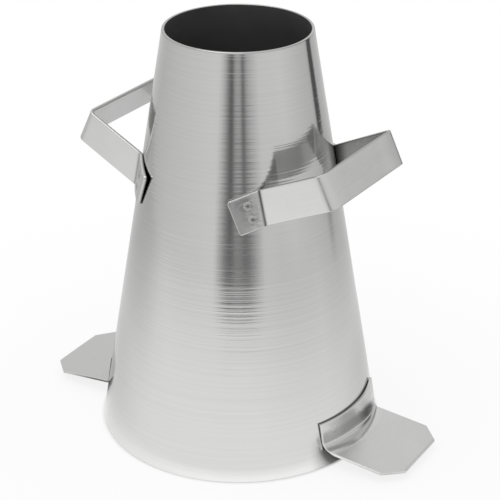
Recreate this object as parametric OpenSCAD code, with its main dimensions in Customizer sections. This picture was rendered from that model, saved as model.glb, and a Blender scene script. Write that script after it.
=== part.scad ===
// Slump cone: an open steel mould for testing fresh concrete.
// A spun sheet frustum carries two strap handles and two pressed feet, all spot welded.
// The axis of the mould is Z, its base rim stands on Z = 0, and the feet lie along X.

/* [Mould] */
// Height of the mould between its two open ends
mould_height = 300; // [240:1:360]
// Inside diameter of the top opening
top_bore = 100; // [80:1:130]
// Inside diameter of the base opening
base_bore = 200; // [170:1:240]
// Thickness of the spun sheet
wall = 2; // [1.6:0.1:4]

/* [Handles] */
// Height of a strap's upper edge where its arms leave the mould
handle_height = 209.5; // [170:0.5:235]
// Tilt of a handle's loop above the level
handle_tilt = 26; // [10:1:35]
// Turn of the two handles about the mould's axis, from the line of the feet
handle_turn = -3; // [-15:1:15]
// Distance over the outside faces of the two arms of a handle
handle_span = 91; // [70:1:105]
// Length of an arm's upper edge, from the mould to the outside of the grip
arm_length = 53.5; // [35:0.5:75]
// Inside radius of the two bends beside the grip
grip_bend = 4; // [1:0.5:12]
// Width of the strap
strap_width = 25; // [20:0.5:32]
// Thickness of the strap
strap_thick = 2.5; // [1.6:0.1:4]
// Length of each welded tab around the mould, from the arm to its end
tab_length = 21; // [14:1:30]

/* [Feet] */
// Reach of a foot's outer edge from the mould's axis
foot_reach = 151; // [135:1:175]
// Width of a foot's plate
foot_width = 73; // [55:1:80]
// Width of the flange that lies against the mould
flange_width = 77; // [70:1:95]
// Height of the flange's upper edge above the base rim
flange_height = 33.5; // [31:0.5:45]
// Height of the plate's upper face, carried in to the mould's base edge
foot_height = 12; // [9:0.5:14]
// Slope of the plate down towards its outer edge
foot_droop = 5.5; // [0:0.5:8]
// Radius of the bend on the foot's upper side
foot_bend = 9; // [6:0.5:11]
// Corner cut off each outer corner of the plate
foot_corner = 13; // [6:1:18]
// Length over which the flange narrows to the plate
foot_flare = 15; // [8:1:22]
// Thickness of a foot's sheet
foot_thick = 2; // [1.6:0.1:3.5]

/* [Spot welds] */
// Diameter of a weld nugget
weld_diameter = 5; // [4:0.1:6]
// Depth of a nugget in the mould's wall
weld_depth = 1; // [0.5:0.1:1.5]
// Radius of the electrode's rounded tip, which leaves the dimple
tip_radius = 9; // [7:0.5:14]
// Depth of the electrode's dimple
dimple_depth = 0.4; // [0.2:0.05:0.6]
// Distance between the two welds on a handle tab
tab_weld_pitch = 10; // [8:0.5:12]
// Distance between neighbouring welds on a foot's flange
flange_weld_pitch = 27; // [20:1:31]
// Number of welds on a foot's flange
flange_welds = 3; // [2:1:3]

/* [Hidden] */
$fn = 96;
// Steps of a foot's bend around its curve
bend_steps = 12;

// Gap left between two sheets that lie against each other
seat_clearance = 0.05;
// Overrun of every cut past the face that it opens
overrun = 1;

// The mould's slope, and its outside radius at a height
slope = (base_bore - top_bore) / 2 / mould_height;
half_angle = atan(slope);
function level(thickness) = thickness / cos(half_angle);
function outside_r(z) = base_bore / 2 - slope * z + level(wall);

// The handle's loop plane: u runs out along the loop, v across it, w is square to it
arm_outside = handle_span / 2;
arm_inside = arm_outside - strap_thick;
mould_edge_u = sqrt(pow(outside_r(handle_height), 2) - pow(arm_outside, 2));
loop_top = handle_height * cos(handle_tilt) - mould_edge_u * sin(handle_tilt);
loop_bottom = loop_top - strap_width;
loop_middle = loop_top - strap_width / 2;
arm_start = mould_edge_u * cos(handle_tilt) + handle_height * sin(handle_tilt);
grip_outside = arm_start + arm_length;

// Where the mould's axis crosses the middle of the loop, and that line's place and height at w
crossing_u = loop_middle * tan(handle_tilt);
function line_offset(w) = (loop_middle - w) * sin(handle_tilt);
function line_height(w) = crossing_u * sin(handle_tilt) + w * cos(handle_tilt);

// The mould's reach from that line at w, at an angle in the loop plane
function loop_reach(angle, w) =
  let (
    rise = cos(angle) * sin(handle_tilt),
    run = cos(angle) * cos(handle_tilt),
    radius = outside_r(line_height(w)),
    square_term = pow(run, 2) + pow(sin(angle), 2) - pow(slope * rise, 2),
    half_term = line_offset(w) * run + radius * slope * rise,
    rest = pow(line_offset(w), 2) - pow(radius, 2)
  )
  (sqrt(pow(half_term, 2) - square_term * rest) - half_term) / square_term;

// Angles about that line at which a tab leaves its arm, is welded and ends
level_slope = slope * tan(handle_tilt);
middle_r = outside_r(line_height(loop_middle));
arm_meets_u =
  (sqrt(pow(middle_r, 2) - (1 - pow(level_slope, 2)) * pow(arm_outside, 2)) - middle_r * level_slope)
  / (1 - pow(level_slope, 2));
tab_start = atan2(arm_outside, arm_meets_u / cos(handle_tilt));
tab_turn = tab_length / loop_reach(tab_start, loop_middle) * 180 / PI;
tab_end = tab_start + tab_turn;
tab_weld = tab_start + tab_turn / 2;

// The foot's bend: its centre lies one radius from the flange's face and from the plate's face
flange_face = (base_bore / 2) * cos(half_angle) + wall + seat_clearance + foot_thick;
plate_face = outside_r(0) * sin(foot_droop) + foot_height * cos(foot_droop);
bend_r =
  ((flange_face + foot_bend) * cos(foot_droop) - (plate_face + foot_bend) * sin(half_angle))
  / cos(half_angle + foot_droop);
bend_z =
  ((plate_face + foot_bend) * cos(half_angle) - (flange_face + foot_bend) * sin(foot_droop))
  / cos(half_angle + foot_droop);
bend_centre = [bend_r, bend_z];
bend_top_z = bend_z - foot_bend * sin(half_angle);
flange_normal = [cos(half_angle), sin(half_angle)];
plate_normal = [sin(foot_droop), cos(foot_droop)];
up_flange = [-sin(half_angle), cos(half_angle)] * flange_height;
out_plate = [cos(foot_droop), -sin(foot_droop)] * foot_reach;
flange_weld_z = (flange_height + bend_top_z) / 2;
neck_u = sqrt(pow(bend_r, 2) - pow(flange_width / 2, 2)) - foot_bend;

// A solid frustum that stands off the mould's outside by a gap
module frustum(gap) {
  cylinder(
    h = mould_height,
    r1 = outside_r(0) + level(gap),
    r2 = outside_r(mould_height) + level(gap)
  );
}

// Children with their Z axis square to the mould's outside, from a point on it
module on_mould(azimuth, z) {
  rotate([0, 0, azimuth])
    translate([outside_r(z), 0, z])
      rotate([0, 90 - half_angle, 0])
        children();
}

// Children at the place of each weld on one tab of the right handle
module at_tab_welds(side) {
  for (step = [-1, 1]) {
    w = loop_middle + step * tab_weld_pitch / 2;
    reach = loop_reach(tab_weld, w);
    out = line_offset(w) + reach * cos(tab_weld) * cos(handle_tilt);
    across = reach * sin(tab_weld);
    z = line_height(w) + reach * cos(tab_weld) * sin(handle_tilt);
    on_mould(side * atan2(across, out), z) children();
  }
}

// Children at the place of each weld on the right foot's flange
module at_flange_welds() {
  for (index = [0 : flange_welds - 1]) {
    along = (index - (flange_welds - 1) / 2) * flange_weld_pitch;
    on_mould(along / outside_r(flange_weld_z) * 180 / PI, flange_weld_z) children();
  }
}

// The hollow that the electrode's tip presses into a sheet of this thickness
module dimple(sheet) {
  translate([0, 0, seat_clearance + sheet + tip_radius - dimple_depth])
    sphere(r = tip_radius);
}

// A weld nugget through a sheet and into the mould's wall, with its dimple
module nugget(sheet) {
  difference() {
    translate([0, 0, -weld_depth])
      cylinder(h = weld_depth + seat_clearance + sheet, d = weld_diameter);
    dimple(sheet);
  }
}

// The room that a nugget and its dimple take out of a sheet and the mould's wall
module nugget_room(sheet) {
  translate([0, 0, -weld_depth])
    cylinder(h = weld_depth + sheet + overrun, d = weld_diameter + 2 * seat_clearance);
  dimple(sheet);
}

// Places on the right or the left of the mould: the left pieces are the right ones turned about
module to_side(right) {
  rotate([0, 0, right ? 0 : 180]) children();
}

module to_handle(right) {
  to_side(right) rotate([0, 0, handle_turn]) children();
}

module cone_shell() {
  color("silver")
    difference() {
      frustum(0);
      translate([0, 0, -overrun])
        cylinder(
          h = mould_height + 2 * overrun,
          d1 = base_bore + 2 * slope * overrun,
          d2 = top_bore - 2 * slope * overrun
        );
      for (right = [true, false]) {
        to_handle(right)
          for (side = [-1, 1])
            at_tab_welds(side) nugget_room(strap_thick);
        to_side(right)
          at_flange_welds() nugget_room(foot_thick);
      }
    }
}

// A strip of the loop plane, drawn in u and v and as wide as the strap
module strap_prism() {
  rotate([0, -handle_tilt, 0])
    translate([0, 0, loop_bottom])
      linear_extrude(height = strap_width)
        children();
}

// A rounded bar of the loop's outline, from inside the mould to a line out along u
module loop_bar(end_u, half_span, corner) {
  square_end = end_u - corner;
  translate([crossing_u, -half_span])
    square([square_end - crossing_u, 2 * half_span]);
  translate([crossing_u, corner - half_span])
    square([end_u - crossing_u, 2 * (half_span - corner)]);
  for (side = [-1, 1])
    translate([square_end, side * (half_span - corner)])
      circle(r = corner);
}

// The U of two arms and a grip
module loop_outline() {
  difference() {
    loop_bar(grip_outside, arm_outside, grip_bend + strap_thick);
    loop_bar(grip_outside - strap_thick, arm_inside, grip_bend);
  }
}

// The field of the loop plane that one tab takes, from the middle of its arm to its end
module tab_field() {
  arm_middle = arm_outside - strap_thick / 2;
  far = base_bore;
  polygon([
    [crossing_u + arm_middle / tan(tab_end), arm_middle],
    [crossing_u + far, arm_middle],
    [crossing_u + far, far],
    [crossing_u + far / tan(tab_end), far]
  ]);
}

module strap_handle() {
  difference() {
    union() {
      strap_prism() loop_outline();
      intersection() {
        frustum(seat_clearance + strap_thick);
        strap_prism()
          for (side = [0, 1])
            mirror([0, side, 0]) tab_field();
      }
    }
    frustum(seat_clearance);
    for (side = [-1, 1])
      at_tab_welds(side) nugget_room(strap_thick);
  }
}

module right_handle() {
  color("silver") to_handle(true) strap_handle();
}

module left_handle() {
  color("silver") to_handle(false) strap_handle();
}

// Points of a foot's section along one face of its sheet: flange, bend and plate
function foot_face(radius) = concat(
  [bend_centre - radius * flange_normal + up_flange],
  [for (step = [0 : bend_steps])
    let (angle = 180 + half_angle + step / bend_steps * (90 - half_angle - foot_droop))
    bend_centre + radius * [cos(angle), sin(angle)]],
  [bend_centre - radius * plate_normal + out_plate]
);

// The section of a foot in radius and height, as one sheet
module foot_section() {
  upper = foot_face(foot_bend);
  under = foot_face(foot_bend + foot_thick);
  polygon(concat(upper, [for (index = [len(under) - 1 : -1 : 0]) under[index]]));
}

// A foot's outline from above, from inside the mould to its outer edge
module foot_outline() {
  half = [
    [0, flange_width / 2],
    [neck_u, flange_width / 2],
    [neck_u + foot_flare, foot_width / 2],
    [foot_reach - foot_corner, foot_width / 2],
    [foot_reach, foot_width / 2 - foot_corner]
  ];
  other_half = [for (index = [len(half) - 1 : -1 : 0]) [half[index].x, -half[index].y]];
  polygon(concat(half, other_half));
}

// The section turned about the mould and cut to the outline
module pressed_foot() {
  difference() {
    intersection() {
      rotate_extrude() foot_section();
      linear_extrude(height = flange_height) foot_outline();
    }
    at_flange_welds() nugget_room(foot_thick);
  }
}

module right_foot() {
  color("silver") to_side(true) pressed_foot();
}

module left_foot() {
  color("silver") to_side(false) pressed_foot();
}

// The two nuggets of one handle tab, on the front (-1) or the rear (1) of the mould
module handle_welds(right, end) {
  side = right ? end : -end;
  color("gray")
    to_handle(right)
      at_tab_welds(side) nugget(strap_thick);
}

// The nuggets along one foot's flange
module foot_welds(right) {
  color("gray")
    to_side(right)
      at_flange_welds() nugget(foot_thick);
}

module right_handle_front_welds() { handle_welds(true, -1); }
module right_handle_rear_welds() { handle_welds(true, 1); }
module left_handle_front_welds() { handle_welds(false, -1); }
module left_handle_rear_welds() { handle_welds(false, 1); }
module right_foot_welds() { foot_welds(true); }
module left_foot_welds() { foot_welds(false); }

cone_shell();
right_handle();
left_handle();
right_foot();
left_foot();
right_handle_front_welds();
right_handle_rear_welds();
left_handle_front_welds();
left_handle_rear_welds();
right_foot_welds();
left_foot_welds();
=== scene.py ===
import math

import bmesh
import bpy
import numpy as np
from mathutils import Matrix


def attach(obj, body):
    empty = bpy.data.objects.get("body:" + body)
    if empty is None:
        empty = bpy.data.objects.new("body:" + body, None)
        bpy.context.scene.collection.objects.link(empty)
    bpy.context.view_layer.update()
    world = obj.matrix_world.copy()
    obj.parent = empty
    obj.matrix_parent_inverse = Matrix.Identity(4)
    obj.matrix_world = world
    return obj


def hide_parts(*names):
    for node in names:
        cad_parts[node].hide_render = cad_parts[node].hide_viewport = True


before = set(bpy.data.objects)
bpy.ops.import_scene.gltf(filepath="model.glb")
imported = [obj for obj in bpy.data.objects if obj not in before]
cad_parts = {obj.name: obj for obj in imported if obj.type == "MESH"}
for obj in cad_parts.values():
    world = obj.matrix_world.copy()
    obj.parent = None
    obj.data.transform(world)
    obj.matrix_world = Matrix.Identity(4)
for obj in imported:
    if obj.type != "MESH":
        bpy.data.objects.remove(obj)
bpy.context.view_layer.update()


# Mould wall
# One frustum of sheet steel, open at both ends, spun over a former on a lathe and trimmed square.
# The outside keeps the fine rings of the spinning tool; the inside has a dark film of oil and cement.
mould_height = 0.300
top_bore = 0.100
base_bore = 0.200
wall = 0.002
rim_round = 0.0006
wall_rows = 120
wall_turns = 240
# Waves that the tool leaves along the wall: length, depth and start of each
tool_waves = ((0.031, 0.000012, 0.4), (0.017, 0.000008, 2.1), (0.0071, 0.000004, 4.0))
# The waves stop this far from the two rims
plain_band = 0.002
tool_line_stretch = (4, 4, 700)
tool_line_depth = 0.000085
# Heights between which the tool went from biting lightly to biting fully
bite_heights = (0.165, 0.200)
# Rings of the tool's feed: their pitch, how far they drift in radians, and their depth
ring_pitch = 0.0043
ring_drift = 14.0
ring_depth = 0.0000035
spun_shades = ((0.648, 0.648, 0.643), (0.672, 0.672, 0.667))
# The top rim is rubbed dull: where below it that starts, and where it is full
rubbed_start, rubbed_full = 0.0012, 0.0004
rubbed_shade = (0.50, 0.50, 0.495)
film_shades = ((0.058, 0.058, 0.058), (0.077, 0.077, 0.077))
filmed_line_depth = 0.00004
# The film covers the bore past this share of the wall, off both rims, where the steel doesn't face up
film_wall_share = 0.7
film_above_base, film_below_rim = 0.001, 0.0002
film_facing_up = 0.5

wall_slope = (base_bore - top_bore) / 2 / mould_height
half_angle = math.atan(wall_slope)


def outside_radius(height, stand_off=0.0):
    """Radius at a height of the wall's outside, or of a face that stands off it."""
    return base_bore / 2 + (wall + stand_off) / math.cos(half_angle) - height * wall_slope


def soft_corner(before, corner, after, setback, steps=5):
    """Points of the curve that rounds off a corner between its two neighbours."""
    before, corner, after = (np.array(p, float) for p in (before, corner, after))
    start = corner + (before - corner) / np.linalg.norm(before - corner) * setback
    end = corner + (after - corner) / np.linalg.norm(after - corner) * setback
    return [
        tuple((1 - t) ** 2 * start + 2 * t * (1 - t) * corner + t**2 * end)
        for t in np.linspace(0, 1, steps)
    ]


def turned(profile, count, closed):
    """Points and faces of a profile turned round the axis."""
    points, faces = [], []
    for step in range(count):
        angle = 2 * math.pi * step / count
        points += [(r * math.cos(angle), r * math.sin(angle), z) for r, z in profile]
    rows = len(profile)
    for step in range(count):
        here, there = step * rows, (step + 1) % count * rows
        for row in range(rows if closed else rows - 1):
            following = (row + 1) % rows
            faces.append((here + row, there + row, there + following, here + following))
    return points, faces


def steel_piece(name, points, faces, finishes, replaced):
    """A piece of the mould in these finishes, in place of the named solids."""
    mesh = bpy.data.meshes.new(name)
    mesh.from_pydata([tuple(p) for p in points], [], faces)
    for finish in finishes:
        mesh.materials.append(finish)
    piece = bpy.data.objects.new(name, mesh)
    bpy.context.scene.collection.objects.link(piece)
    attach(piece, "root")
    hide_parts(*replaced)
    return piece


def close_up(piece):
    """Join the points that coincide, turn the faces outwards and smooth them."""
    shaped = bmesh.new()
    shaped.from_mesh(piece.data)
    bmesh.ops.remove_doubles(shaped, verts=shaped.verts, dist=1e-7)
    bmesh.ops.recalc_face_normals(shaped, faces=shaped.faces)
    shaped.to_mesh(piece.data)
    shaped.free()
    piece.data.shade_smooth()


def new_finish(name, **sockets):
    finish = bpy.data.materials.new(name)
    finish.use_nodes = True
    shader = finish.node_tree.nodes["Principled BSDF"]
    for socket, value in sockets.items():
        shader.inputs[socket.replace("_", " ")].default_value = value
    return finish, finish.node_tree, shader


def dress(tree, shader, **sockets):
    """Link what was worked out to the shader's sockets."""
    for socket, output in sockets.items():
        tree.links.new(output, shader.inputs[socket.replace("_", " ")])


def add_node(tree, kind, inputs=None, **settings):
    made = tree.nodes.new("ShaderNode" + kind)
    for key, value in settings.items():
        setattr(made, key, value)
    for key, value in (inputs or {}).items():
        if isinstance(value, bpy.types.NodeSocket):
            tree.links.new(value, made.inputs[key])
        else:
            made.inputs[key].default_value = value
    return made


def worked(tree, operation, *values):
    """The result of one operation on numbers and other results."""
    return add_node(tree, "Math", dict(enumerate(values)), operation=operation).outputs[0]


def streaks(tree, place, stretch, detail):
    spread = add_node(tree, "Mapping", {"Vector": place, "Scale": stretch})
    grain = add_node(
        tree,
        "TexNoise",
        {"Vector": spread.outputs[0], "Scale": 1.0, "Detail": detail, "Roughness": 0.55},
    )
    return grain.outputs["Fac"]


def between(tree, share, low, high, start=0.3, end=0.7):
    """A level that goes from low to high while the share goes from start to end."""
    ranged = add_node(
        tree,
        "MapRange",
        {"Value": share, "From Min": start, "From Max": end, "To Min": low, "To Max": high},
    )
    return ranged.outputs[0]


def shaded(tree, share, first, second):
    """A colour that goes from the first to the second, each of them written out or worked out before."""
    first, second = (
        colour if isinstance(colour, bpy.types.NodeSocket) else (*colour, 1) for colour in (first, second)
    )
    return add_node(tree, "Mix", {0: share, 6: first, 7: second}, data_type="RGBA").outputs[2]


def raised(tree, height, distance, strength=1.0, under=None):
    bump = add_node(tree, "Bump", {"Height": height, "Distance": distance, "Strength": strength})
    if under is not None:
        tree.links.new(under, bump.inputs["Normal"])
    return bump.outputs[0]


spun_steel, tree, shader = new_finish(
    "spun_steel", Metallic=1.0, Anisotropic=0.5, Anisotropic_Rotation=0.25
)
place = add_node(tree, "TexCoord").outputs["Object"]
up_wall = add_node(tree, "SeparateXYZ", {0: place}).outputs[2]
tool_lines = streaks(tree, place, tool_line_stretch, detail=2.0)
drift = streaks(tree, place, (3, 3, 40), detail=2.0)
handling = streaks(tree, place, (11, 11, 16), detail=4.0)
ring_turn = worked(tree, "MULTIPLY", up_wall, 2 * math.pi / ring_pitch)
ring_turn = worked(tree, "MULTIPLY_ADD", drift, ring_drift, ring_turn)
rings = raised(tree, worked(tree, "SINE", ring_turn), ring_depth)
bite = between(tree, up_wall, 0.5, 1.0, *bite_heights)
colour = shaded(tree, between(tree, tool_lines, 0, 1), *spun_shades)
at_rim = between(tree, up_wall, 0, 1, mould_height - rubbed_start, mould_height - rubbed_full)
dress(
    tree,
    shader,
    Base_Color=shaded(tree, at_rim, colour, rubbed_shade),
    Roughness=between(tree, handling, 0.085, 0.12),
    Normal=raised(tree, tool_lines, tool_line_depth, bite, rings),
    Tangent=add_node(tree, "Tangent", direction_type="RADIAL", axis="Z").outputs[0],
)

oiled_inside, tree, shader = new_finish("oiled_inside", Metallic=0.0, Specular_IOR_Level=0.25)
place = add_node(tree, "TexCoord").outputs["Object"]
film = streaks(tree, place, (30, 30, 60), detail=5.0)
dress(
    tree,
    shader,
    Base_Color=shaded(tree, between(tree, film, 0, 1), *film_shades),
    Roughness=between(tree, film, 0.55, 0.75),
    Normal=raised(tree, streaks(tree, place, tool_line_stretch, detail=2.0), filmed_line_depth),
)

outer_low = (outside_radius(0), 0.0)
outer_high = (outside_radius(mould_height), mould_height)
inner_high = (top_bore / 2, mould_height)
inner_low = (base_bore / 2, 0.0)
spun_rows = []
for height in np.linspace(plain_band, mould_height - plain_band, wall_rows):
    wave = sum(
        depth * (1 + math.sin(2 * math.pi * height / length + start)) for length, depth, start in tool_waves
    )
    spun_rows.append((outside_radius(height) - wave, height))
top_outside = soft_corner(outer_low, outer_high, inner_high, rim_round)
top_inside = soft_corner(outer_high, inner_high, inner_low, rim_round)
base_inside = soft_corner(inner_high, inner_low, outer_low, rim_round)
base_outside = soft_corner(inner_low, outer_low, outer_high, rim_round)
wall_section = base_outside + spun_rows + top_outside + top_inside + base_inside
points, faces = turned(wall_section, wall_turns, closed=True)
mould_wall = steel_piece(
    "spun_mould_wall", points, faces, [spun_steel, oiled_inside], ["cone_shell"]
)
close_up(mould_wall)
for face in mould_wall.data.polygons:
    middle = face.center
    in_bore = math.hypot(middle.x, middle.y) < outside_radius(middle.z) - film_wall_share * wall
    off_rims = film_above_base < middle.z < mould_height - film_below_rim
    if in_bore and off_rims and face.normal.z < film_facing_up:
        face.material_index = 1


# Handles
# Two flat steel straps, each bent into a U with a tab at both ends that wraps the mould.
# Cut from strip with its edges broken, bent cold, and held by two spot welds on each tab.
strap_width = 0.025
strap_thick = 0.0025
strap_edge = 0.0005
handle_height = 0.2095
handle_tilt = math.radians(26)
handle_turn = math.radians(-3)
half_turn = math.pi
handle_span = 0.091
arm_length = 0.0535
grip_bend = 0.0028
tab_length = 0.021
tab_corner = 0.002
fold_setback = 0.0008
seat_clearance = 0.00005
tab_weld_pitch = 0.010
dimple_depth = 0.0005
dimple_inside, dimple_outside = 0.0018, 0.0026
# Steps of the strap's middle line: across it, over a broken edge, and along tab, fold, bend, grip and arm
strap_columns = 42
edge_steps = 4
tab_steps = 34
fold_steps = 9
bend_steps = 12
grip_steps = 6
arm_shares = (0.01, 0.03, 0.08, 0.2, 0.4, 0.6, 0.8, 0.92, 0.97, 1.0)
# The tab's first step past its broken edge
first_tab_step = 0.00006
# The rows at the middle of the fold and at the end of the arm
fold_row = edge_steps + tab_steps - 1 + fold_steps // 2
arm_end_row = edge_steps + tab_steps + fold_steps + len(arm_shares) - 2

# How far each tab has sprung off the wall, at the lower and the upper corner of its end
tab_lifts = {
    ("right", "front"): (0.0006, 0.0006), ("right", "rear"): (0.0004, 0.0008),
    ("left", "front"): (0.0001, 0.0016), ("left", "rear"): (0.0004, 0.0008),
}
# How sharply that grows towards the tab's end
tab_spring_curve = 1.5
# How far an arm spreads at its root, and how much longer its tab is
arm_spreads = {("right", "front"): (0.0032, 0.0015)}
# How far each loop is bent off its plane at the two ends of the grip
loop_bends = {"right": {"front": -0.0020, "rear": 0.0}, "left": {"front": 0.0, "rear": 0.0025}}
# How far each end of the grip is pushed in, and the one bend that is wider than the others
loop_pushes = {"right": {"front": 0.0022, "rear": 0.0}, "left": {"front": 0.0, "rear": 0.0}}
wide_bends = {("right", "front"): 0.0055}

strap_shades = ((0.68, 0.68, 0.675), (0.72, 0.72, 0.715))
# Colour of the painted shade on the inside of the straps
inside_painted_colour = (0.46, 0.46, 0.455)
# How much painted shade darkens the inside of each strap, which faces the mould
inside_shade_shares = {"right": 1.0, "left": 0.2}
# How dirty the edges of each strap are
strap_edge_shade = (0.30, 0.30, 0.295)
strap_edge_dirt = {"right": 1.0, "left": 0.25}
# Painted shade along the fold between tab and arm
painted_fold_colour = (0.13, 0.13, 0.127)
fold_darkening = {"right": 1.0, "left": 0.5}
fold_darkening_reach = 0.0022
# Painted shade inside each arm near the mould: how far it reaches from the mould, and over what length it
# fades
painted_corner_colour = (0.03, 0.03, 0.03)
arm_painted_shade = {
    ("right", "front"): (0.010, 0.0075), ("right", "rear"): (0.010, 0.0075),
    ("left", "front"): (0.020, 0.0150), ("left", "rear"): (0.030, 0.0230),
}
# Painted shade on the inside of each grip
grip_painted_shade = {"right": 0.0, "left": 0.36}
# The smudges that the heat of the welds left round them
heat_shade = (0.36, 0.36, 0.355)
weld_heat = {"right": 1.0, "left": 0.15}
weld_heat_reach = 0.012
rolled_line_depth = 0.000008

arm_outside = handle_span / 2
arm_middle = arm_outside - strap_thick / 2
mould_edge = math.sqrt(outside_radius(handle_height) ** 2 - arm_outside**2)
arm_root = mould_edge * math.cos(handle_tilt) + handle_height * math.sin(handle_tilt)
grip_outside = arm_root + arm_length
loop_middle = (
    handle_height * math.cos(handle_tilt) - mould_edge * math.sin(handle_tilt) - strap_width / 2
)
crossing = loop_middle * math.tan(handle_tilt)


def loop_to_mould(out, across, up):
    """A point of the tilted loop, as a place on the mould before the handle is turned."""
    return np.stack(
        [
            out * math.cos(handle_tilt) - up * math.sin(handle_tilt),
            across + 0 * out,
            out * math.sin(handle_tilt) + up * math.cos(handle_tilt),
        ],
        axis=-1,
    )


def tab_reach(angle, up, stand_off):
    """Distance in the loop's plane from its crossing with the axis to a face standing off the wall."""
    lean = crossing * math.cos(handle_tilt) - up * math.sin(handle_tilt)
    radius = outside_radius(crossing * math.sin(handle_tilt) + up * math.cos(handle_tilt), stand_off)
    out, shrink = np.cos(angle) * math.cos(handle_tilt), -np.cos(angle) * math.sin(handle_tilt) * wall_slope
    square = out**2 + np.sin(angle) ** 2 - shrink**2
    line = lean * out - radius * shrink
    return (-line + np.sqrt(line**2 - square * (lean**2 - radius**2))) / square


def arm_meets(across, up, stand_off):
    """Distance along the loop's plane at which an arm meets a face standing off the wall."""
    lean, tip = up * math.sin(handle_tilt), outside_radius(up * math.cos(handle_tilt), stand_off)
    shrink = math.sin(handle_tilt) * wall_slope
    square = math.cos(handle_tilt) ** 2 - shrink**2
    line = -lean * math.cos(handle_tilt) + tip * shrink
    return (-line + math.sqrt(line**2 - square * (lean**2 + across**2 - tip**2))) / square


tab_start = math.atan2(arm_outside, arm_meets(arm_outside, loop_middle, 0) - crossing)
tab_turn = tab_length / tab_reach(tab_start, loop_middle, 0)
tab_end, tab_weld = tab_start + tab_turn, tab_start + tab_turn / 2


def tab_gap(angle, up, lifts):
    """How far a tab springs off the wall, from its lower and upper corner at the end."""
    share = (up - loop_middle) / strap_width + 0.5
    along = np.clip((angle - tab_start) / (tab_end - tab_start), 0, None) ** tab_spring_curve
    return (lifts[0] + (lifts[1] - lifts[0]) * share) * along


def broken_edge(edge):
    """Steps in from a sheet's edge over its rounding: how far in, and what the sheet loses there."""
    turn = np.linspace(math.pi / 2, 0, edge_steps)
    return edge * (1 - np.sin(turn)), edge * (1 - np.cos(turn))


def places_across(half_width, edge, count):
    """Places across a sheet from one broken edge to the other."""
    side = half_width - broken_edge(edge)[0]
    flat = np.linspace(-(half_width - edge), half_width - edge, count)
    return np.concatenate([-side, flat[1:-1], side[::-1]])


def edge_losses(count, edge):
    """What each of a row of places across a sheet loses to the two broken edges."""
    loss = broken_edge(edge)[1]
    return np.concatenate([loss, np.zeros(count - 2 * edge_steps), loss[::-1]])


def strap_half(up, lifts, spread, longer, bend):
    """The strap's middle line at one place across its width, from a tab's end to the middle of the grip."""
    root_aside = arm_middle + spread
    root = arm_meets(root_aside, up, seat_clearance + strap_thick / 2)
    root_angle = math.atan2(root_aside, root - crossing)
    root_reach = tab_reach(root_angle, up, strap_thick / 2)
    bend_angle = root_angle + fold_setback / root_reach
    ends = tab_end + longer / root_reach - broken_edge(strap_edge)[0] / root_reach
    flat_start = ends[-1] - first_tab_step / root_reach
    angles = np.concatenate([ends, np.linspace(flat_start, bend_angle, tab_steps)])
    reach = tab_reach(angles, up, seat_clearance + strap_thick / 2 + tab_gap(angles, up, lifts))
    line = [(crossing + r * math.cos(a), r * math.sin(a)) for r, a in zip(reach, angles)]
    corner_radius = bend + strap_thick / 2
    corner_out = grip_outside - strap_thick / 2 - corner_radius
    grip_end = (corner_out, arm_middle)
    line += soft_corner(line[-1], (root, root_aside), grip_end, fold_setback, fold_steps)[1:]
    fold_end = np.array(line[-1])
    line += [tuple(fold_end + (grip_end - fold_end) * share) for share in arm_shares]
    for turn in np.linspace(0, math.pi / 2, bend_steps)[1:]:
        aside = arm_middle - corner_radius * (1 - math.cos(turn))
        line.append((corner_out + corner_radius * math.sin(turn), aside))
    grip_out, grip_aside = line[-1]
    line += [(grip_out, aside) for aside in np.linspace(grip_aside, 0, grip_steps)[1:]]
    return line


def strap_middle(hand, first_tab, last_tab):
    """The middle surface of a strap: rows from its first tab to its last, columns across its width."""
    columns = []
    for across in places_across(strap_width / 2, strap_edge, strap_columns):
        past_corner = max(0.0, abs(across) - strap_width / 2 + tab_corner)
        cut = tab_corner - math.sqrt(tab_corner**2 - past_corner**2)
        halves = []
        for tab in (first_tab, last_tab):
            spread, longer = arm_spreads.get((hand, tab), (0.0, 0.0))
            bend = wide_bends.get((hand, tab), grip_bend)
            lifts = tab_lifts[hand, tab]
            halves.append(strap_half(loop_middle + across, lifts, spread, longer - cut, bend))
        first, last = halves
        line = np.array(first + [(out, -aside) for out, aside in last[-2::-1]])
        outward = np.clip((line[:, 0] - arm_root) / (grip_outside - arm_root), 0, 1)
        sideways = (line[:, 1] / arm_middle + 1) / 2
        bent, pushed = (
            outward * (knocks[last_tab] + (knocks[first_tab] - knocks[last_tab]) * sideways)
            for knocks in (loop_bends[hand], loop_pushes[hand])
        )
        columns.append(loop_to_mould(line[:, 0] - pushed, line[:, 1], loop_middle + across + bent))
    return np.stack(columns, axis=1)


def tab_weld_spots(hand, tab, side):
    """Where the two welds of a tab stand on its face, before the handle is turned."""
    spots = []
    for step in (-1, 1):
        up = loop_middle + step * tab_weld_pitch / 2
        gap = tab_gap(tab_weld, up, tab_lifts[hand, tab])
        reach = tab_reach(tab_weld, up, seat_clearance + strap_thick + gap)
        out, aside = crossing + reach * math.cos(tab_weld), side * reach * math.sin(tab_weld)
        spots.append(loop_to_mould(out, aside, up))
    return spots


def off_the_wall(middle):
    """How far each point of a sheet's middle surface lies outside the wall."""
    return np.hypot(middle[..., 0], middle[..., 1]) - outside_radius(middle[..., 2])


def lengths_along(middle, way):
    """How far each point lies along its column (0) or its row (1), measured on the sheet."""
    steps = np.diff(middle, axis=way, prepend=np.take(middle, [0], axis=way))
    return np.cumsum(np.linalg.norm(steps, axis=2), axis=way)


def band_along(off_line, reach, fullness=1.5):
    """A band along a line: full in its middle, and gone at this reach from it."""
    return np.clip(fullness * (1 - np.abs(off_line) / reach), 0, 1)


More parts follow.
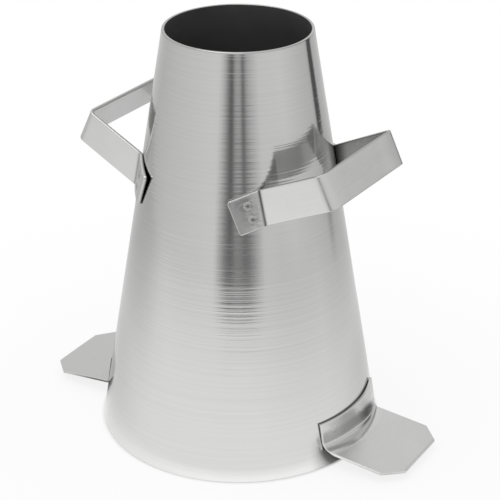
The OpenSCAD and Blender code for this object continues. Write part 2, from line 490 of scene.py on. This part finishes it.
def strap_painted_shades(hand, first_tab, last_tab, middle):
    """The painted shade inside a strap and along its two folds, at each point of its middle surface."""
    off_wall, runs = off_the_wall(middle), lengths_along(middle, 0)
    last_row = len(middle) - 1
    rows = np.arange(len(middle))[:, None]
    of_grip = (rows > arm_end_row) & (rows < last_row - arm_end_row)
    corner_shade_at, bend_shade_at = np.where(of_grip, grip_painted_shade[hand], 0 * off_wall), 0 * off_wall
    for tab, of_tab, fold in (
        (first_tab, rows <= arm_end_row, fold_row),
        (last_tab, rows >= last_row - arm_end_row, last_row - fold_row),
    ):
        shade_reach, shade_fade = arm_painted_shade[hand, tab]
        near_mould = np.clip((shade_reach - off_wall) / shade_fade, 0, 1)
        corner_shade_at = np.maximum(corner_shade_at, of_tab * near_mould)
        along_fold = band_along(runs - runs[fold], fold_darkening_reach)
        bend_shade_at = np.maximum(bend_shade_at, fold_darkening[hand] * along_fold)
    return corner_shade_at, bend_shade_at


def paint(piece, name, levels):
    """Give each point of a piece a level that its finish reads by this name."""
    layer = piece.data.attributes.new(name, "FLOAT", "POINT")
    layer.data.foreach_set("value", np.asarray(levels, np.float32))


def painted(tree, name):
    return add_node(tree, "Attribute", attribute_name=name).outputs["Fac"]


def rounded_sheet(
    name, middle, thick, edge, finish, replaced,
    back_shade_level, corner_shade_at, bend_shade_at, edge_dirt=1.0, welds=(), heated=0.0,
):
    """A sheet of steel around its middle surface, with broken edges, dimpled welds, its wear and its
    painted shade.
    """
    rows, columns = middle.shape[:2]
    loss = np.maximum(edge_losses(rows, edge)[:, None], edge_losses(columns, edge)[None, :])
    half_thick = thick / 2 - loss
    normal = np.cross(np.gradient(middle, axis=1), np.gradient(middle, axis=0))
    normal /= np.linalg.norm(normal, axis=2, keepdims=True)
    face_side = middle + normal * half_thick[..., None]
    back_side = middle - normal * half_thick[..., None]
    for spot in welds:
        distance = np.linalg.norm(face_side - spot, axis=2)
        share = np.clip((dimple_outside - distance) / (dimple_outside - dimple_inside), 0, 1)
        face_side -= normal * (dimple_depth * share**2 * (3 - 2 * share))[..., None]
    points = np.concatenate([face_side.reshape(-1, 3), back_side.reshape(-1, 3)])
    back = rows * columns
    faces = []
    for row in range(rows - 1):
        for column in range(columns - 1):
            a = row * columns + column
            b, c, d = a + 1, a + 1 + columns, a + columns
            faces += [(a, b, c, d), (back + d, back + c, back + b, back + a)]
    rim = [row * columns for row in range(rows)]
    rim += [(rows - 1) * columns + column for column in range(1, columns)]
    rim += [row * columns + columns - 1 for row in range(rows - 2, -1, -1)]
    rim += [column for column in range(columns - 2, 0, -1)]
    for here, there in zip(rim, rim[1:] + rim[:1]):
        faces.append((here, there, back + there, back + here))
    piece = steel_piece(name, points, faces, [finish], replaced)
    lengths = np.stack([lengths_along(middle, 0), lengths_along(middle, 1)], axis=2)
    unrolled = np.tile(lengths.reshape(-1, 2), (2, 1))
    layer = piece.data.uv_layers.new(name="unrolled")
    corners = np.zeros(len(piece.data.loops), int)
    piece.data.loops.foreach_get("vertex_index", corners)
    layer.data.foreach_set("uv", unrolled[corners].ravel().astype(np.float32))
    heat = np.zeros(len(points))
    for spot in welds:
        heat = np.maximum(heat, 1 - np.linalg.norm(points - spot, axis=1) / weld_heat_reach)
    paint(piece, "worn_edge", edge_dirt * np.tile(np.sqrt(loss / loss.max()).ravel(), 2))
    # How much painted shade the sheet's back gets
    paint(piece, "back_face", np.repeat([0, back_shade_level], back))
    paint(piece, "weld_heat", heated * heat)
    # Painted shade along folds and bends, and near the wall or inside the grips
    paint(piece, "painted_bend_shade", np.append(bend_shade_at.ravel(), np.zeros(back)))
    paint(piece, "painted_corner_shade", np.tile(corner_shade_at.ravel(), 2))
    close_up(piece)


strap_steel, tree, shader = new_finish(
    "strap_steel", Metallic=1.0, Anisotropic=0.3, Coat_IOR=1.8, Coat_Roughness=0.25
)
unrolled = add_node(tree, "UVMap", uv_map="unrolled").outputs[0]
place = add_node(tree, "TexCoord").outputs["Object"]
rolled_lines = streaks(tree, unrolled, (25, 1600, 1), detail=3.0)
smudges = streaks(tree, unrolled, (260, 420, 1), detail=3.0)
handling = streaks(tree, place, (60, 60, 60), detail=4.0)
back_shade_share = painted(tree, "back_face")
# Painted shade where the inside of an arm nears the mould
inside_painted_shade = worked(tree, "MULTIPLY", painted(tree, "painted_corner_shade"), between(tree, back_shade_share, 0, 1, 0.12, 0.2))
near_weld = between(tree, painted(tree, "weld_heat"), 0, 1, 0.1, 0.7)
smudged = worked(tree, "MULTIPLY", near_weld, between(tree, smudges, 0, 0.9))
colour = shaded(tree, between(tree, rolled_lines, 0, 1), *strap_shades)
# The fold, inside and corner colours below are painted shade
for share, shade in (
    (painted(tree, "painted_bend_shade"), painted_fold_colour),
    (back_shade_share, inside_painted_colour),
    (inside_painted_shade, painted_corner_colour),
    (painted(tree, "worn_edge"), strap_edge_shade),
    (smudged, heat_shade),
):
    colour = shaded(tree, share, colour, shade)
dress(
    tree,
    shader,
    Base_Color=colour,
    Roughness=between(tree, handling, 0.20, 0.28),
    Coat_Weight=between(tree, back_shade_share, 0, 0.9, 0, 0.2),
    Normal=raised(tree, rolled_lines, rolled_line_depth),
    Tangent=add_node(tree, "Tangent", direction_type="UV_MAP", uv_map="unrolled").outputs[0],
)

tab_welds = {}
for hand, first_tab, last_tab, turn in (
    ("right", "rear", "front", 0),
    ("left", "front", "rear", half_turn),
):
    spin = np.array(Matrix.Rotation(turn + handle_turn, 3, "Z"))
    for tab, side in ((first_tab, 1), (last_tab, -1)):
        tab_welds[hand, tab] = [spin @ spot for spot in tab_weld_spots(hand, tab, side)]
    middle = strap_middle(hand, first_tab, last_tab) @ spin.T
    corner_shade_at, bend_shade_at = strap_painted_shades(hand, first_tab, last_tab, middle)
    rounded_sheet(
        hand + "_strap_handle",
        middle,
        strap_thick,
        strap_edge,
        strap_steel,
        [hand + "_handle"],
        inside_shade_shares[hand],
        corner_shade_at,
        bend_shade_at,
        strap_edge_dirt[hand],
        tab_welds[hand, first_tab] + tab_welds[hand, last_tab],
        weld_heat[hand],
    )


# Spot welds of the handles
# Two nuggets through each tab into the wall, left by a pointed electrode.
# Each shows as a burnt dimple inside a bright ring.
nugget_radius = 0.0020
nugget_root = 0.001
nugget_turns = 28
# A nugget's top, from its middle to its edge: radius, and height over the tab's face
nugget_top = (
    (0.0, -0.00034),
    (0.0006, -0.00032),
    (0.0010, -0.00024),
    (0.0014, -0.00010),
    (0.0018, 0.00003),
    (0.0022, 0.00005),
    (0.0025, -0.00001),
    (0.0026, -0.0002),
)
# How far the burn of the dimple reaches, how it fades, and how burnt the ring stays
burn_radius = 0.0017
burn_curve = 0.6
burnt_ring = 0.3
# How burnt the welds of each handle are
scorches = {"right": 1.0, "left": 0.5}
weld_shades = ((0.63, 0.63, 0.62), (0.13, 0.125, 0.12))
scale_depth = 0.00003

weld_steel, tree, shader = new_finish("weld_steel", Metallic=1.0)
place = add_node(tree, "TexCoord").outputs["Object"]
burnt = painted(tree, "burnt")
scale = streaks(tree, place, (900, 900, 900), detail=3.0)
dress(
    tree,
    shader,
    Base_Color=shaded(tree, burnt, *weld_shades),
    Roughness=between(tree, burnt, 0.20, 0.55, 0, 1),
    Normal=raised(tree, scale, scale_depth),
)


def weld_nuggets(name, spots, sheet, replaced, top, scorch):
    """Nuggets standing on the wall at these spots of a sheet's face."""
    points, faces, burns = [], [], []
    depth = sheet + seat_clearance + nugget_root
    profile = [(0.0, -depth), (nugget_radius, -depth), *reversed(top)]
    for spot in spots:
        aside, beside = spot[:2] / np.linalg.norm(spot[:2])
        out = np.array([aside * math.cos(half_angle), beside * math.cos(half_angle), math.sin(half_angle)])
        level = np.array([-beside, aside, 0.0])
        rise = np.cross(out, level)
        local, around = turned(profile, nugget_turns, closed=False)
        faces += [tuple(len(points) + corner for corner in face) for face in around]
        points += [spot + level * x + rise * y + out * z for x, y, z in local]
        for x, y, z in local:
            burn = max(0.0, 1 - math.hypot(x, y) / burn_radius) ** burn_curve
            burns.append(scorch * (burnt_ring + (1 - burnt_ring) * burn))
    piece = steel_piece(name, points, faces, [weld_steel], replaced)
    paint(piece, "burnt", burns)
    close_up(piece)


for (hand, tab), spots in tab_welds.items():
    replaced = [f"{hand}_handle_{tab}_welds"]
    weld_nuggets(f"{hand}_{tab}_tab_welds", spots, strap_thick, replaced, nugget_top, scorches[hand])


# Feet
# Two pressed sheets to stand on: a curved flange against the mould, a wide bend and a drooping plate.
# Sheared from sheet steel with the outer corners cut off, and spot welded through the flange.
foot_reach = 0.1509
foot_width = 0.073
foot_height = 0.012
foot_droop = math.radians(5.5)
foot_corner = 0.013
foot_thick = 0.002
foot_edge = 0.0003
flange_width = 0.077
flange_height = 0.0335
flange_lift = 0.0002
# The bend's inside radius: wide, and from this place along the foot tightening to one end
foot_bend = 0.009
tight_bend = 0.0025
tightens_from = -0.005
flange_welds = 3
flange_weld_pitch = 0.027
# The flange's welds are dressed nearly flush and hardly burnt
dressed_top = ((0.0, 0.00003), (0.0012, 0.00003), (0.0021, 0.00003), (0.0025, 0.00001), (0.0026, -0.0002))
dressed_scorch = 0.03
# Steps across the foot, and down its flange, bend, plate and cut corners
foot_columns = 64
flange_steps = 26
foot_bend_steps = 18
plate_steps = 16
corner_steps = 10

foot_shades = ((0.63, 0.63, 0.625), (0.655, 0.655, 0.65))
# Colour of the painted shade on the back and underside of the feet
back_painted_colour = (0.20, 0.20, 0.195)
# How far over the sheared edge the painted shade of each foot's back comes
underside_shade_levels = {"right": 1.0, "left": 4.0}
# Colour of the painted dark reflections in the bend
bend_painted_colour = (0.10, 0.10, 0.098)
# The sheared edge is bright, with painted shade of the gap where it meets the wall and along part of the
# left foot
sheared_and_gap_colours = ((0.70, 0.70, 0.69), (0.16, 0.16, 0.155))
near_wall_reach = 0.010
left_shade_out = (-0.130, -0.108)
left_shade_in = (-0.08, -0.06)
# The flange's top edge gets less of that painted shade: where below it that starts, and where it is full
top_unshaded_start, top_unshaded_full = 0.0012, 0.0003
sheet_grain_depth = 0.000004
# A painted dark reflection on the flange above the bend: how thick it is at places along the foot, and how
# high it sits
dark_band_places = (-0.030, -0.018, 0.002, 0.014, 0.024, 0.030)
dark_band_levels = (0.0, 0.2, 0.3, 0.9, 0.85, 0.3)
dark_band_rise_places, dark_band_rises = (0.010, 0.024), (0.0035, 0.0020)
dark_band_reach = 0.0055
dark_band_fullness = 1.6
# A streak of painted dark reflection low in the bend at the other end: how far down it runs, and how it
# thins out
streak_places, streak_drops = (-0.036, -0.016), (0.0065, 0.0101)
streak_thins, streak_levels = (-0.016, -0.010), (0.45, 0.0)
streak_reach = 0.0028

flange_face = base_bore / 2 * math.cos(half_angle) + wall + seat_clearance + foot_thick
plate_face = outside_radius(0) * math.sin(foot_droop) + foot_height * math.cos(foot_droop)
plate_middle = (plate_face - foot_thick / 2) / math.cos(foot_droop)


def bend_centre(bend):
    """Distance from the axis and height of the bend's centre, for an inside radius of the bend."""
    from_flange, from_plate = flange_face + bend, plate_face + bend
    spread = math.cos(half_angle + foot_droop)
    return (
        (from_flange * math.cos(foot_droop) - from_plate * math.sin(half_angle)) / spread,
        (from_plate * math.cos(half_angle) - from_flange * math.sin(foot_droop)) / spread,
    )


def bend_along(across):
    """The bend's inside radius, which tightens towards the end where the press bit last."""
    share = np.clip((across - tightens_from) / (flange_width / 2 - tightens_from), 0, 1)
    return foot_bend + (tight_bend - foot_bend) * share


def foot_across(half_width):
    return places_across(half_width, foot_edge, foot_columns)


def round_row(radius, across, height):
    """A row of the foot that follows the mould at this radius and height."""
    return np.stack([np.sqrt(radius**2 - across**2), across, height + 0 * across], axis=1)


def plate_row(out, across):
    """A straight row of the drooping plate."""
    fall = np.hypot(out, across) * math.tan(foot_droop)
    return np.stack([out + 0 * across, across, plate_middle - fall], axis=1)


bend_top = bend_centre(foot_bend)[1] - foot_bend * math.sin(half_angle)
flange_weld_z = (flange_height + bend_top) / 2
outer_welds = (flange_welds - 1) / 2 * flange_weld_pitch
edge_inset = broken_edge(foot_edge)[0]
across = foot_across(flange_width / 2)
bend = bend_along(across)
flange_low = bend_centre(bend)[1] - (bend + foot_thick / 2) * math.sin(half_angle)
flange_ends = flange_height - edge_inset
heights = [end + 0 * across for end in flange_ends]
for share in np.linspace(0, 1, flange_steps)[1:]:
    heights.append(flange_ends[-1] + (flange_low - flange_ends[-1]) * share)
foot_rows = []
for height in heights:
    top = np.clip((height - flange_weld_z) / (flange_height - flange_weld_z), 0, 1) ** 2
    ends = np.clip((np.abs(across) - outer_welds) / (flange_width / 2 - outer_welds), 0, 1) ** 2
    fade = np.clip((height - flange_low) / (flange_weld_z - flange_low), 0, 1)
    stand_off = seat_clearance + foot_thick / 2 + flange_lift * np.maximum(top, ends * fade)
    foot_rows.append(round_row(outside_radius(height, stand_off), across, height))
bend_from, bend_to = math.pi + half_angle, 1.5 * math.pi - foot_droop
for share in np.linspace(0, 1, foot_bend_steps)[1:]:
    across = foot_across((flange_width + (foot_width - flange_width) * share) / 2)
    bend = bend_along(across)
    centre_out, centre_up = bend_centre(bend)
    angle = bend_from + (bend_to - bend_from) * share
    radius = centre_out + (bend + foot_thick / 2) * math.cos(angle)
    foot_rows.append(round_row(radius, across, centre_up + (bend + foot_thick / 2) * math.sin(angle)))
plate_start = foot_rows[-1][:, 0]
corner_start = foot_reach - foot_corner
for share in np.linspace(0, 1, plate_steps)[1:]:
    out = plate_start + (corner_start - plate_start) * share
    foot_rows.append(plate_row(out, foot_across(foot_width / 2)))
plate_ends = foot_reach - edge_inset[::-1]
for out in np.append(np.linspace(corner_start, plate_ends[0], corner_steps)[1:], plate_ends[1:]):
    foot_rows.append(plate_row(out, foot_across(foot_width / 2 - (out - corner_start))))
foot_middle = np.stack(foot_rows)[:, ::-1]

# How near each point lies to the wall, for the edges' painted shade and the pressed roughness
near_wall_share = np.clip(1 - off_the_wall(foot_middle) / near_wall_reach, 0, 1)
# Painted dark reflections in the bend: a band above it and a streak low in it
foot_runs = lengths_along(foot_middle, 0)
past_flange = foot_runs - foot_runs[len(heights) - 1]
along_bend = foot_middle[..., 1]
dark_band_rise = np.interp(along_bend, dark_band_rise_places, dark_band_rises)
dark_band = band_along(past_flange + dark_band_rise, dark_band_reach, dark_band_fullness)
dark_band *= np.interp(along_bend, dark_band_places, dark_band_levels)
streak = band_along(past_flange - np.interp(along_bend, streak_places, streak_drops), streak_reach)
streak *= np.interp(along_bend, streak_thins, streak_levels)
foot_bend_shade = np.maximum(dark_band, streak)

foot_steel, tree, shader = new_finish("foot_steel", Metallic=1.0)
unrolled = add_node(tree, "UVMap", uv_map="unrolled").outputs[0]
place = add_node(tree, "TexCoord").outputs["Object"]
sheet_grain = streaks(tree, unrolled, (700, 60, 1), detail=4.0)
handling = streaks(tree, place, (45, 45, 45), detail=5.0)
# Share of painted shade on the foot's back
back_shade_share = painted(tree, "back_face")
near_wall = painted(tree, "painted_corner_shade")
along_foot, _, up_foot = add_node(tree, "SeparateXYZ", {0: place}).outputs
# Painted shade of the gap along the sheared edge: near the wall, and along part of the left foot
left_gap_shade = worked(
    tree,
    "MULTIPLY",
    between(tree, along_foot, 0, 1, *left_shade_out),
    between(tree, along_foot, 1, 0, *left_shade_in),
)
gap_shade = worked(tree, "MAXIMUM", between(tree, near_wall, 0, 1, 0.1, 0.5), left_gap_shade)
top_unshaded = between(
    tree, up_foot, 0.0, 0.17, flange_height - top_unshaded_start, flange_height - top_unshaded_full
)
back_part = worked(tree, "SUBTRACT", back_shade_share, top_unshaded)
gap_edge_share = worked(tree, "MULTIPLY", gap_shade, between(tree, back_part, 0, 1, 0.60, 0.78))
colour = shaded(tree, between(tree, sheet_grain, 0, 1), *foot_shades)
# Painted dark reflections in the bend, painted shade on the back, and the sheared edge with the painted
# shade of its gap
for share, shade in (
    (painted(tree, "painted_bend_shade"), bend_painted_colour),
    (back_shade_share, back_painted_colour),
    (painted(tree, "worn_edge"), shaded(tree, gap_edge_share, *sheared_and_gap_colours)),
):
    colour = shaded(tree, share, colour, shade)
pressed = between(tree, near_wall, 0.34, 0.17, 0.0, 0.6)
dress(
    tree,
    shader,
    Base_Color=colour,
    Roughness=worked(tree, "ADD", between(tree, handling, -0.04, 0.05), pressed),
    Normal=raised(tree, sheet_grain, sheet_grain_depth),
)

weld_radius = outside_radius(flange_weld_z, seat_clearance + foot_thick)
weld_turns = [
    (index - (flange_welds - 1) / 2) * flange_weld_pitch / outside_radius(flange_weld_z)
    for index in range(flange_welds)
]
for hand, turn in (("right", 0), ("left", half_turn)):
    spin = np.array(Matrix.Rotation(turn, 3, "Z"))
    spots = [
        spin @ np.array([weld_radius * math.cos(angle), weld_radius * math.sin(angle), flange_weld_z])
        for angle in weld_turns
    ]
    rounded_sheet(
        hand + "_pressed_foot",
        foot_middle @ spin.T,
        foot_thick,
        foot_edge,
        foot_steel,
        [hand + "_foot"],
        underside_shade_levels[hand],
        near_wall_share,
        foot_bend_shade,
    )
    weld_nuggets(
        hand + "_flange_welds", spots, foot_thick, [hand + "_foot_welds"], dressed_top, dressed_scorch
    )


# Floor
# A wide sheet of white paper under the mould, laid square to the camera, that carries the mould's shadow.
# To the camera it is white. In the steel it glows a little unevenly, with painted shadows and painted light
# graded into the glow.
floor_front, floor_back, floor_side = 0.87, 0.60, 0.80
floor_drop = 0.0003
view_turn = math.radians(31.6)
paper_white = (0.92, 0.92, 0.92)
lit_white = (1, 1, 1)
fibre_depth = 0.00005
# Half the width of the ellipse over which the glow falls off
glow_side = 0.52
# Painted shadow as a dark spot beside the right foot, painted shade as dim spots on both sides of the
# mould, and painted light as a bright spot behind it
foot_spot = (0.110, 0.053, 0)
side_spot = (0.125, 0.075, 0)
behind_spot = (0.071, 0.237, 0)
# A dark lane far out on the floor: how it is turned, and how far from the axis it would pass
lane_turn = math.radians(33.165)
lane_off = 0.132
# The glow starts inside the foot's edges, is full outside them, and is then this share of the light
glow_inside_foot, glow_outside_foot = 0.004, 0.012
glow_share = 0.6
# The dark line under the mould's base: where past the bore it starts to lighten, and where it ends
base_line_start, base_line_end = 0.0012, 0.0045


def measured(tree, operation, *vectors):
    """A length, a distance or a reach along a way."""
    return add_node(tree, "VectorMath", dict(enumerate(vectors)), operation=operation).outputs["Value"]


def seen_in_steel(tree, rays):
    return worked(tree, "MAXIMUM", rays.outputs["Is Glossy Ray"], rays.outputs["Is Transmission Ray"])


paper, tree, shader = new_finish(
    "white_paper", Base_Color=(*paper_white, 1), Roughness=0.9, Specular_IOR_Level=0.1
)
place = add_node(tree, "TexCoord").outputs["Object"]
room_place = add_node(tree, "NewGeometry").outputs["Position"]
rays = add_node(tree, "LightPath")
fibres = streaks(tree, place, (400, 400, 400), detail=3.0)
dress(tree, shader, Normal=raised(tree, fibres, fibre_depth))

to_right, to_back, _ = add_node(tree, "SeparateXYZ", {0: place}).outputs
away = measured(tree, "LENGTH", place)
ellipse = add_node(
    tree, "VectorMath", {0: place, 1: (1 / glow_side, 1 / floor_front, 0)}, operation="MULTIPLY"
)
to_edge = measured(tree, "LENGTH", ellipse.outputs[0])
to_either_side = add_node(tree, "CombineXYZ", {0: worked(tree, "ABSOLUTE", to_right), 1: to_back})
along_lane = measured(tree, "DOT_PRODUCT", place, (math.cos(lane_turn), math.sin(lane_turn), 0))
across_lane = measured(tree, "DOT_PRODUCT", place, (-math.sin(lane_turn), math.cos(lane_turn), 0))
off_lane = worked(tree, "ABSOLUTE", worked(tree, "ADD", across_lane, lane_off))
base_level = between(tree, to_right, 1.12, 1.38, -0.12, -0.03)
left_level = between(tree, to_back, 1.06, 0.76, -0.20, 0.12)
lane_level = between(tree, along_lane, 1.0, 0.22, 0.50, 0.65)
glow_level = between(tree, to_edge, 1.21, 0.66, 0.10, 1.7)
# What dims or lifts the glow: a measure, the level where it starts and where it ends, and those two places
for measure, low, high, start, end in (
    (to_back, 1.0, 0.52, -0.10, 0.30),
    (to_right, 1.0, 0.88, 0.05, 0.45),
    (away, base_level, 1.0, 0.110, 0.138),
    (to_right, left_level, 1.0, -0.45, -0.05),
    (measured(tree, "DISTANCE", room_place, foot_spot), 0.0, 1.0, 0.012, 0.023),
    (off_lane, lane_level, 1.0, 0.01, 0.085),
    (measured(tree, "DISTANCE", to_either_side.outputs[0], side_spot), 0.80, 1.0, 0.05, 0.14),
    (measured(tree, "DISTANCE", place, behind_spot), 1.36, 1.0, 0.045, 0.085),
):
    glow_level = worked(tree, "MULTIPLY", glow_level, between(tree, measure, low, high, start, end))
mirrored = add_node(tree, "Emission", {"Color": (*lit_white, 1), "Strength": glow_level})

from_axes = add_node(tree, "VectorMath", {0: room_place}, operation="ABSOLUTE").outputs[0]
off_middle = add_node(tree, "SeparateXYZ", {0: from_axes}).outputs
past_foot, beside_foot = (
    between(tree, off, 0, glow_share, edge - glow_inside_foot, edge + glow_outside_foot)
    for off, edge in ((off_middle[0], foot_reach), (off_middle[1], foot_width / 2))
)
open_floor = worked(tree, "MAXIMUM", past_foot, beside_foot)
in_steel = worked(tree, "MULTIPLY", seen_in_steel(tree, rays), open_floor)
lit = add_node(tree, "MixShader", {0: in_steel, 1: shader.outputs[0], 2: mirrored.outputs[0]})
white = add_node(tree, "Emission", {"Color": (*lit_white, 1), "Strength": 1.0})
past_base = between(tree, away, 0, 1, base_bore / 2 + base_line_start, base_bore / 2 + base_line_end)
plain = worked(tree, "MULTIPLY", between(tree, away, 0.84, 1.0, 0.18, 0.40), past_base)
to_camera = worked(tree, "MULTIPLY", rays.outputs["Is Camera Ray"], plain)
seen = add_node(tree, "MixShader", {0: to_camera, 1: lit.outputs[0], 2: white.outputs[0]})
tree.links.new(seen.outputs[0], tree.nodes["Material Output"].inputs["Surface"])

floor_mesh = bpy.data.meshes.new("paper_floor")
paper_corners = (
    (-floor_side, -floor_front),
    (floor_side, -floor_front),
    (floor_side, floor_back),
    (-floor_side, floor_back),
)
floor_mesh.from_pydata([(x, y, -floor_drop) for x, y in paper_corners], [], [(0, 1, 2, 3)])
floor_mesh.materials.append(paper)
floor = bpy.data.objects.new("paper_floor", floor_mesh)
floor.rotation_euler = (0, 0, view_turn)
bpy.context.scene.collection.objects.link(floor)


# Light and camera
# A white light tent all round, dark where the camera looks in and at one gap behind; a soft lamp above.
# The camera stands in front and to the right of the mould and looks down on it.
tent_white = (0.80, 0.80, 0.80)
ceiling_white = (0.94, 0.94, 0.94)
# How light the cloth is by degrees round from the camera: low down, at the sides, above and in the roof
low_levels = (
    (-180, 0.70), (-150, 0.66), (-126, 0.62), (-110, 0.66), (-90, 0.71), (-35, 0.81), (-26, 0.81),
    (-20, 0.47), (-15, 0.22), (-10, 0.16), (-3, 0.24), (3, 0.20), (10, 0.17), (15, 0.30), (20, 0.50),
    (26, 0.73), (60, 0.77), (85, 0.69), (108, 0.62), (115, 0.56), (118, 0.10), (127, 0.10), (131, 0.56),
    (145, 0.60), (180, 0.70),
)
side_levels = (
    (-180, 0.74), (-150, 0.68), (-126, 0.64), (-110, 0.66), (-90, 0.71), (-35, 0.81), (-26, 0.81),
    (-21, 0.69), (-17, 0.51), (-13, 0.27), (-9.5, 0.12), (-7.5, 0.15), (-4.5, 0.41), (0, 0.49), (3, 0.39),
    (5.5, 0.17), (7.5, 0.24), (10, 0.43), (15, 0.59), (20, 0.66), (28, 0.77), (60, 0.80), (85, 0.70),
    (108, 0.56), (114, 0.49), (117, 0.04), (127, 0.04), (131, 0.66), (140, 0.77), (180, 0.80),
)
high_levels = (
    (-180, 0.80), (-90, 0.73), (-26, 0.77), (26, 0.77), (85, 0.75), (112, 0.73), (117, 0.20), (128, 0.20),
    (132, 0.73), (180, 0.80),
)
roof_levels = (
    (-180, 0.84), (-172, 0.74), (-155, 0.75), (-90, 0.76), (70, 0.74), (88, 0.58), (112, 0.55), (125, 0.62),
    (138, 0.58), (144, 0.36), (151, 0.36), (158, 0.86), (172, 0.91), (180, 0.88),
)
# The rise between which each band of cloth gives way to the next
side_rise, high_rise, roof_rise, ceiling_rise = (-0.113, -0.087), (0.05, 0.11), (0.22, 0.34), (0.70, 0.90)

tent = bpy.data.worlds.new("light_tent")
bpy.context.scene.world = tent
tent.use_nodes = True
tree = tent.node_tree
tree.nodes.clear()
way = add_node(tree, "TexCoord").outputs["Generated"]
turned_way = add_node(tree, "VectorRotate", {"Vector": way, "Angle": -view_turn}, rotation_type="Z_AXIS")
to_right, to_back, rise = add_node(tree, "SeparateXYZ", {0: turned_way.outputs[0]}).outputs
turn_round = worked(tree, "ARCTAN2", to_right, worked(tree, "MULTIPLY", to_back, -1.0))
round_share = between(tree, turn_round, 0, 1, -math.pi, math.pi)


def tent_cloth(levels):
    """A band of cloth as light as its levels say, all the way round."""
    cloth = add_node(tree, "ValToRGB", {0: round_share})
    while len(cloth.color_ramp.elements) < len(levels):
        cloth.color_ramp.elements.new(0.5)
    for element, (degrees, level) in zip(cloth.color_ramp.elements, levels):
        element.position = (degrees + 180) / 360
        element.color = (level, level, level, 1)
    return cloth.outputs[0]


cloth = tent_cloth(low_levels)
for band_rise, band in (
    (side_rise, tent_cloth(side_levels)),
    (high_rise, tent_cloth(high_levels)),
    (roof_rise, tent_cloth(roof_levels)),
    (ceiling_rise, ceiling_white),
):
    cloth = shaded(tree, between(tree, rise, 0, 1, *band_rise), cloth, band)
rays = add_node(tree, "LightPath")
around = shaded(tree, seen_in_steel(tree, rays), tent_white, cloth)
backdrop = shaded(tree, rays.outputs["Is Camera Ray"], around, lit_white)
glow = add_node(tree, "Background", {"Color": backdrop, "Strength": 1.0})
add_node(tree, "OutputWorld", {"Surface": glow.outputs[0]})

lamp = bpy.data.lights.new("soft_lamp", "AREA")
lamp.shape = "DISK"
lamp.size = 0.9
lamp.energy = 4
lamp_stand = bpy.data.objects.new("soft_lamp", lamp)
lamp_stand.location = (-0.2, -0.3, 1.4)
lamp_stand.rotation_euler = (-lamp_stand.location).to_track_quat("-Z", "Y").to_euler()
bpy.context.scene.collection.objects.link(lamp_stand)

camera_away = 1.0874
camera_up = 0.6661
camera_pitch = math.radians(26.17)
camera_roll = math.radians(-0.25)
camera_yaw = math.radians(0.3727)
camera_data = bpy.data.cameras.new("photo_camera")
camera_data.sensor_width = 36
camera_data.lens = 120.86
camera_data.clip_start = 0.05
camera = bpy.data.objects.new("photo_camera", camera_data)
stand = Matrix.Rotation(view_turn, 4, "Z") @ Matrix.Translation((0, -camera_away, camera_up))
aim = Matrix.Rotation(math.pi / 2 - camera_pitch, 4, "X") @ Matrix.Rotation(-camera_yaw, 4, "Y")
camera.matrix_world = stand @ aim @ Matrix.Rotation(camera_roll, 4, "Z")
bpy.context.scene.collection.objects.link(camera)
bpy.context.scene.camera = camera
bpy.context.scene.view_settings.view_transform = "Standard"

bpy.context.view_layer.update()
